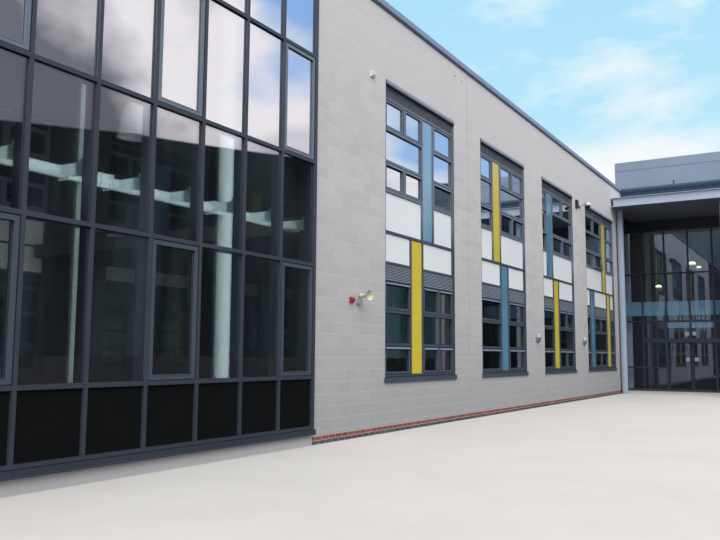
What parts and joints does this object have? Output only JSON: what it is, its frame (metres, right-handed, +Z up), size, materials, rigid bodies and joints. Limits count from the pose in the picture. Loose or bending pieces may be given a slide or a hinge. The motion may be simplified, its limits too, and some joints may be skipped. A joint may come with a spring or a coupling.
{
  "type": "two-storey school building",
  "caption": "Flat-roofed school wing with tall window strips and a glazed hall, joined to an entrance block with a canopy and sliding doors.",
  "frame": {"origin": "centre of the footprint, at ground level", "axes": "+X along the wing's front towards the entrance block, +Y into the building, +Z up"},
  "size_m": [39.69, 18.29, 10.93],
  "materials": {
    "blockwork": "fair-faced concrete blocks",
    "concrete": "concrete",
    "roofing": "grey membrane",
    "coping_metal": "satin powder coat",
    "dark_frame": "satin powder coat",
    "window_glass": "clear",
    "white_panel": "satin powder coat",
    "blue_panel": "satin powder coat",
    "yellow_panel": "satin powder coat",
    "black_panel": "back-painted",
    "pale_steel": "gloss paint",
    "canopy_metal": "satin powder coat",
    "soffit_board": "satin powder coat",
    "parapet_panel": "satin powder coat",
    "spandrel_panel": "satin",
    "plant_cladding": "satin powder coat",
    "white_fitting": "satin",
    "fitting_grey": "satin"
  },
  "bodies": {
    "building": {"front_wall_piers": "blockwork", "front_wall_bands": "blockwork", "back_wall_piers": "blockwork", "back_wall_bands": "blockwork", "left_end_wall": "blockwork", "right_end_wall": "blockwork", "entrance_back_wall": "blockwork", "entrance_side_wall": "blockwork", "porch_return_wall": "blockwork", "ground_floor": "concrete", "first_floor": "concrete", "entrance_floors": "concrete", "link_floors": "concrete", "entrance_threshold": "concrete", "roof_deck": "roofing", "entrance_roof": "roofing", "wall_coping": "coping_metal", "window_frames": "dark_frame", "window_sashes": "dark_frame", "window_sills": "dark_frame", "window_heads": "dark_frame", "louvre_bands": "dark_frame", "curtain_wall_frame": "dark_frame", "curtain_wall_sashes": "dark_frame", "curtain_wall_sill": "dark_frame", "entrance_frame": "dark_frame", "door_header": "dark_frame", "window_glass": "window_glass", "curtain_wall_glass": "window_glass", "entrance_glass": "window_glass", "white_panels": "white_panel", "blue_fins": "blue_panel", "yellow_fins": "yellow_panel", "curtain_wall_base_panels": "black_panel", "hall_columns": "pale_steel", "hall_tube": "pale_steel", "hall_brackets": "pale_steel", "entrance_column": "pale_steel", "canopy_roof": "canopy_metal", "canopy_columns": "canopy_metal", "porch_soffit": "soffit_board", "porch_bulkhead": "soffit_board", "entrance_parapet": "parapet_panel", "entrance_spandrels": "spandrel_panel", "plant_room": "plant_cladding", "wall_lights": "white_fitting", "loudspeaker": "white_fitting", "security_camera": "white_fitting", "alarm_boxes": "fitting_grey"},
    "left entrance door": {"door_left_leaf": "dark_frame", "door_left_glass": "window_glass"},
    "right entrance door": {"door_right_leaf": "dark_frame", "door_right_glass": "window_glass"}
  },
  "joints": [
    {"name": "left door slide", "type": "slide", "parent": "building", "child": "left entrance door", "axis": [0, 1, 0], "range_m": [0, 1]},
    {"name": "right door slide", "type": "slide", "parent": "building", "child": "right entrance door", "axis": [0, -1, 0], "range_m": [0, 1]}
  ],
  "couplings": [
    {"joint": "right door slide", "follows": "left door slide", "ratio": 1}
  ]
}
